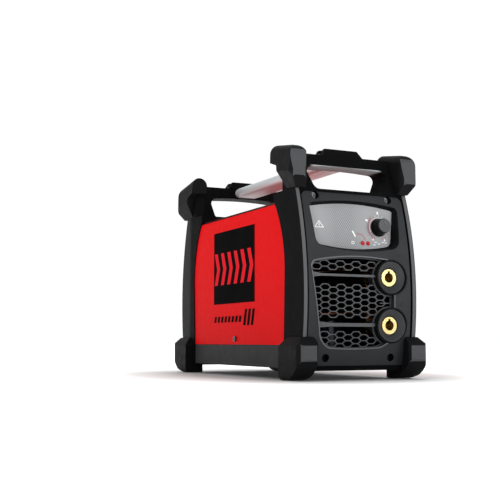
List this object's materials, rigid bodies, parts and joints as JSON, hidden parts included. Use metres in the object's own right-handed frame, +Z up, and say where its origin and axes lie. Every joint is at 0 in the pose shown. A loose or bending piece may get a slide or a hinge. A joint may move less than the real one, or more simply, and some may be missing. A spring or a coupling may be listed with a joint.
{
  "type": "stick welder",
  "caption": "Portable inverter stick welder: red sheet cover between two bowed black end frames with rubber corners, a top handle tube, a current knob and welding sockets.",
  "frame": {"origin": "on the ground, at the middle of the box around the object", "axes": "+Z up, +Y from the control end to the rear end, +X to the right of someone facing the controls"},
  "size_m": [0.196, 0.43, 0.31],
  "materials": {
    "black_moulding": "finely textured black moulded plastic",
    "panel_moulding": "finely textured dark grey moulded plastic",
    "grille_moulding": "dark grey moulded plastic",
    "bumper_rubber": "matt black rubber",
    "red_paint": "red powder coat",
    "tray_paint": "dark grey powder coat",
    "skirt_plastic": "dark grey plastic",
    "label_film": "black printed film",
    "tube_metal": "satin grey anodised",
    "screw_steel": "zinc-plated steel",
    "overlay_film": "silver printed film with fine diagonal hatching",
    "lens_red": "translucent red lens",
    "knob_plastic": "black plastic",
    "cap_grey": "grey plastic cap",
    "pot_steel": "plated steel",
    "board_green": "green circuit board",
    "insulator_grey": "dark grey insulating plastic",
    "brass": "bright turned brass",
    "nut_steel": "plated steel",
    "copper_bar": "copper strip",
    "spacer_nylon": "nylon",
    "sheet_insulation": "insulating sheet",
    "sink_aluminium": "extruded aluminium",
    "chip_black": "black epoxy package",
    "ferrite": "sintered ferrite",
    "winding_copper": "enamelled copper winding",
    "capacitor_sleeve": "sleeved aluminium can",
    "fan_plastic": "black plastic",
    "switch_plastic": "black plastic",
    "rocker_plastic": "red plastic rocker",
    "gland_plastic": "black plastic"
  },
  "bodies": {
    "case": {"front_frame": "black_moulding", "rear_frame": "black_moulding", "front_panel": "panel_moulding", "rear_panel": "panel_moulding", "front_grille": "grille_moulding", "outer_cover": "red_paint", "base_tray": "tray_paint", "side_skirts": "skirt_plastic", "side_labels": "label_film", "handle_tube": "tube_metal", "handle_clamp_front": "black_moulding", "handle_clamp_rear": "black_moulding", "handle_screws": "screw_steel", "cover_screws": "screw_steel", "front_screws": "screw_steel", "rear_screws": "screw_steel", "control_overlay": "overlay_film", "indicator_lenses": "lens_red", "potentiometer_body": "pot_steel", "potentiometer_nut": "pot_steel", "control_board": "board_green", "main_board": "board_green", "board_standoffs": "spacer_nylon", "insulating_sheet": "sheet_insulation", "primary_heatsink": "sink_aluminium", "secondary_heatsink": "sink_aluminium", "power_transistors": "chip_black", "output_diodes": "chip_black", "transformer_core": "ferrite", "transformer_winding": "winding_copper", "choke_core": "ferrite", "choke_winding": "winding_copper", "input_capacitors": "capacitor_sleeve", "fan_frame": "fan_plastic", "fan_screws": "screw_steel", "power_switch_body": "switch_plastic", "cable_gland": "gland_plastic", "cable_gland_nut": "gland_plastic", "positive_busbar": "copper_bar", "negative_busbar": "copper_bar", "bumper_front_left": "bumper_rubber", "foot_front_left": "bumper_rubber", "bumper_front_right": "bumper_rubber", "foot_front_right": "bumper_rubber", "bumper_rear_left": "bumper_rubber", "foot_rear_left": "bumper_rubber", "bumper_rear_right": "bumper_rubber", "foot_rear_right": "bumper_rubber", "positive_socket_insulator": "insulator_grey", "positive_socket_contact": "brass", "positive_socket_nut": "nut_steel", "negative_socket_insulator": "insulator_grey", "negative_socket_contact": "brass", "negative_socket_nut": "nut_steel"},
    "current_knob": {"current_knob": "knob_plastic", "knob_cap": "cap_grey", "potentiometer_shaft": "pot_steel"},
    "fan_rotor": {"fan_rotor": "fan_plastic"},
    "power_switch_rocker": {"power_switch_rocker": "rocker_plastic"}
  },
  "joints": [
    {"name": "current_knob_turn", "type": "hinge", "parent": "case", "child": "current_knob", "pos_m": [0.041, -0.1846, 0.2005], "axis": [0, -0.9957, 0.0924], "range_deg": [-135, 135]},
    {"name": "power_switch_rock", "type": "hinge", "parent": "case", "child": "power_switch_rocker", "pos_m": [0.04, 0.18161, 0.20022], "axis": [-1, 0, 0], "range_deg": [0, 20]},
    {"name": "fan_spin", "type": "hinge", "parent": "case", "child": "fan_rotor", "pos_m": [0, 0.172, 0.104], "axis": [0, 1, 0], "continuous": true}
  ]
}
